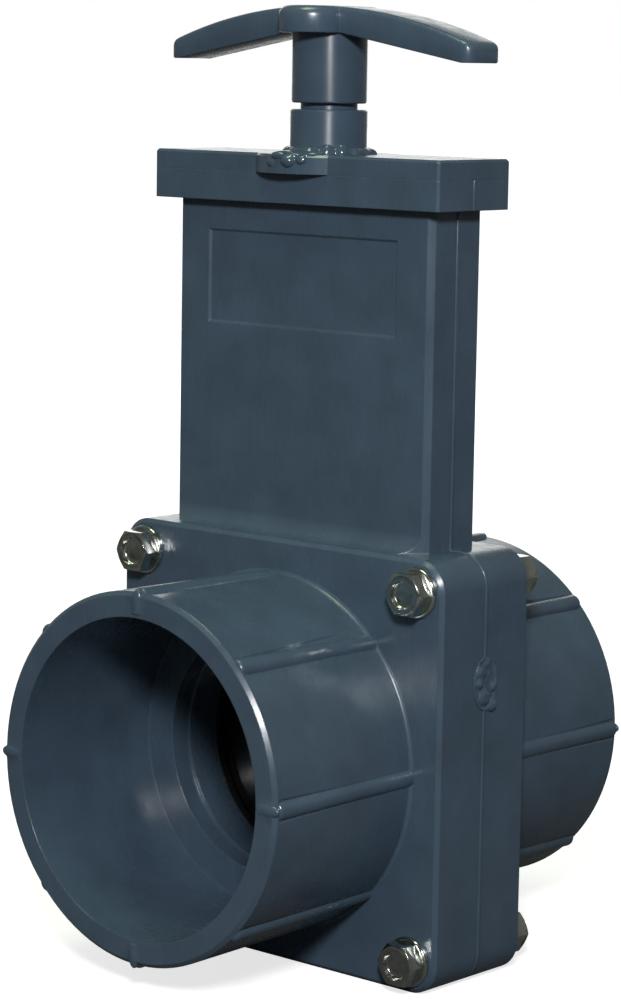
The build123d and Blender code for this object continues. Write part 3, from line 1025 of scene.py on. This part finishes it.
def studio(name, away):
    """World: white to the camera, an even soft light on the object, and for mirrors a dim room with a
    paler backdrop low behind the object."""
    world = bpy.data.worlds.new(name)
    tree = cleared_tree(world)
    rays = add_node(tree, "ShaderNodeLightPath").outputs
    direction = add_node(tree, "ShaderNodeTexCoord").outputs["Generated"]
    facing = reach_along(tree, direction, away)
    height = add_node(tree, "ShaderNodeSeparateXYZ", None, {0: direction}).outputs["Z"]
    across = spread(tree, facing, 0.0, 1.0, 0.78, 0.92, "SMOOTHSTEP")
    below = spread(tree, height, 0.35, 0.0, 0.0, 0.1, "SMOOTHSTEP")
    depth = spread(tree, facing, 0.06, 0.2, -1.0, 1.0)
    seen = combine(tree, "MAXIMUM", rays["Is Camera Ray"], rays["Is Transmission Ray"])
    backdrop = add_node(tree, "ShaderNodeBackground", None, {"Color": (1.0, 1.0, 1.0, 1.0)})
    dim_room = add_node(tree, "ShaderNodeBackground", None, {
        "Color": (0.95, 1.0, 0.9, 1.0), "Strength": depth})
    soft_light = add_node(tree, "ShaderNodeBackground", None, {"Color": (0.24, 0.24, 0.25, 1.0)})
    mirrored = mix(tree, combine(tree, "MULTIPLY", across, below), dim_room.outputs[0], backdrop.outputs[0])
    unseen = mix(tree, rays["Is Glossy Ray"], soft_light.outputs[0], mirrored)
    both = mix(tree, seen, unseen, backdrop.outputs[0])
    add_node(tree, "ShaderNodeOutputWorld", None, {"Surface": both})
    return world


class VALVE_OT_stage(bpy.types.Operator):
    """Set up the camera, the pale floor, the world and the lamps"""
    bl_idname = "valve.stage"
    bl_label = "Stage"

    def execute(self, context):
        stage = context.scene.valve_stage
        sin_turn, cos_turn = math.sin(stage.turn), math.cos(stage.turn)
        sin_pitch, cos_pitch = math.sin(stage.pitch), math.cos(stage.pitch)
        back = Vector((sin_turn * cos_pitch, -cos_turn * cos_pitch, sin_pitch))
        level = Vector((cos_turn, sin_turn, 0.0))
        upward = back.cross(level)
        right = math.cos(stage.roll) * level + math.sin(stage.roll) * upward
        up = math.cos(stage.roll) * upward - math.sin(stage.roll) * level
        place = Vector((0, 0, PIPE_AXIS + stage.aim_height)) + stage.aim_side * level + stage.distance * back
        bpy.ops.object.select_all(action="DESELECT")
        bpy.ops.object.camera_add(location=place)
        camera = bpy.context.object
        camera.name = "camera"
        camera.matrix_world = Matrix((
            (right.x, up.x, back.x, place.x),
            (right.y, up.y, back.y, place.y),
            (right.z, up.z, back.z, place.z),
            (0, 0, 0, 1),
        ))
        camera.data.sensor_width = SENSOR
        camera.data.lens = stage.focal_pixels * SENSOR / IMAGE_HEIGHT
        context.scene.camera = camera

        away = Vector((-sin_turn, cos_turn, 0.0))
        floor = start(PLANE, "floor", size=12.0, location=(0, 0, 0))
        edit()
        bpy.ops.mesh.subdivide(number_cuts=3)
        leave_edit()
        floor.data.materials.append(pale_floor("pale_floor", away))
        context.scene.world = studio("studio", away)
        context.scene.view_settings.view_transform = "Standard"

        area_lamp("flash", stage.flash_watts, 0.09, (0.451, -0.510, 0.404), (1.0, 0.99, 1.0))
        area_lamp("ceiling", stage.ceiling_watts, 0.45, (-0.05, -0.25, 1.3), (0.82, 1.0, 0.62))
        area_lamp("back_fill", stage.fill_watts, 0.8, (-0.75, 0.85, 0.25), (1.0, 1.0, 1.0))
        return {"FINISHED"}


class VALVE_PT_panel(bpy.types.Panel):
    """Lists the valve's steps and the sizes and colours that a user would change"""
    bl_label = "Slide valve"
    bl_idname = "VALVE_PT_panel"
    bl_space_type = "VIEW_3D"
    bl_region_type = "UI"
    bl_category = "Slide valve"

    def draw(self, context):
        for operator in STEPS:
            self.layout.operator(operator.bl_idname)
        for group in GROUPS:
            for name in group.__annotations__:
                self.layout.prop(getattr(context.scene, GROUPS[group]), name)


STEPS = (
    VALVE_OT_finishes,
    VALVE_OT_bolts,
    VALVE_OT_nuts,
    VALVE_OT_washers,
    VALVE_OT_handle,
    VALVE_OT_body,
    VALVE_OT_parting_bead,
    VALVE_OT_gate_mark,
    VALVE_OT_gland_weld,
    VALVE_OT_stage,
)
GROUPS = {
    ValveFinish: "valve_finish",
    ValveFasteners: "valve_fasteners",
    ValveHandle: "valve_handle",
    ValveBody: "valve_body",
    ValveMarks: "valve_marks",
    ValveStage: "valve_stage",
}


def register():
    """Registers the classes and hangs the property groups on the scene."""
    for kind in (*GROUPS, *STEPS, VALVE_PT_panel):
        bpy.utils.register_class(kind)
    for group, name in GROUPS.items():
        setattr(bpy.types.Scene, name, bpy.props.PointerProperty(type=group))


def unregister():
    """Takes away what register added."""
    for name in GROUPS.values():
        delattr(bpy.types.Scene, name)
    for kind in reversed((*GROUPS, *STEPS, VALVE_PT_panel)):
        bpy.utils.unregister_class(kind)


def main():
    """Runs every step in order."""
    register()
    for step in STEPS:
        group, name = step.bl_idname.split(".")
        getattr(getattr(bpy.ops, group), name)()
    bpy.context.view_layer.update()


if __name__ == "__main__":
    main()
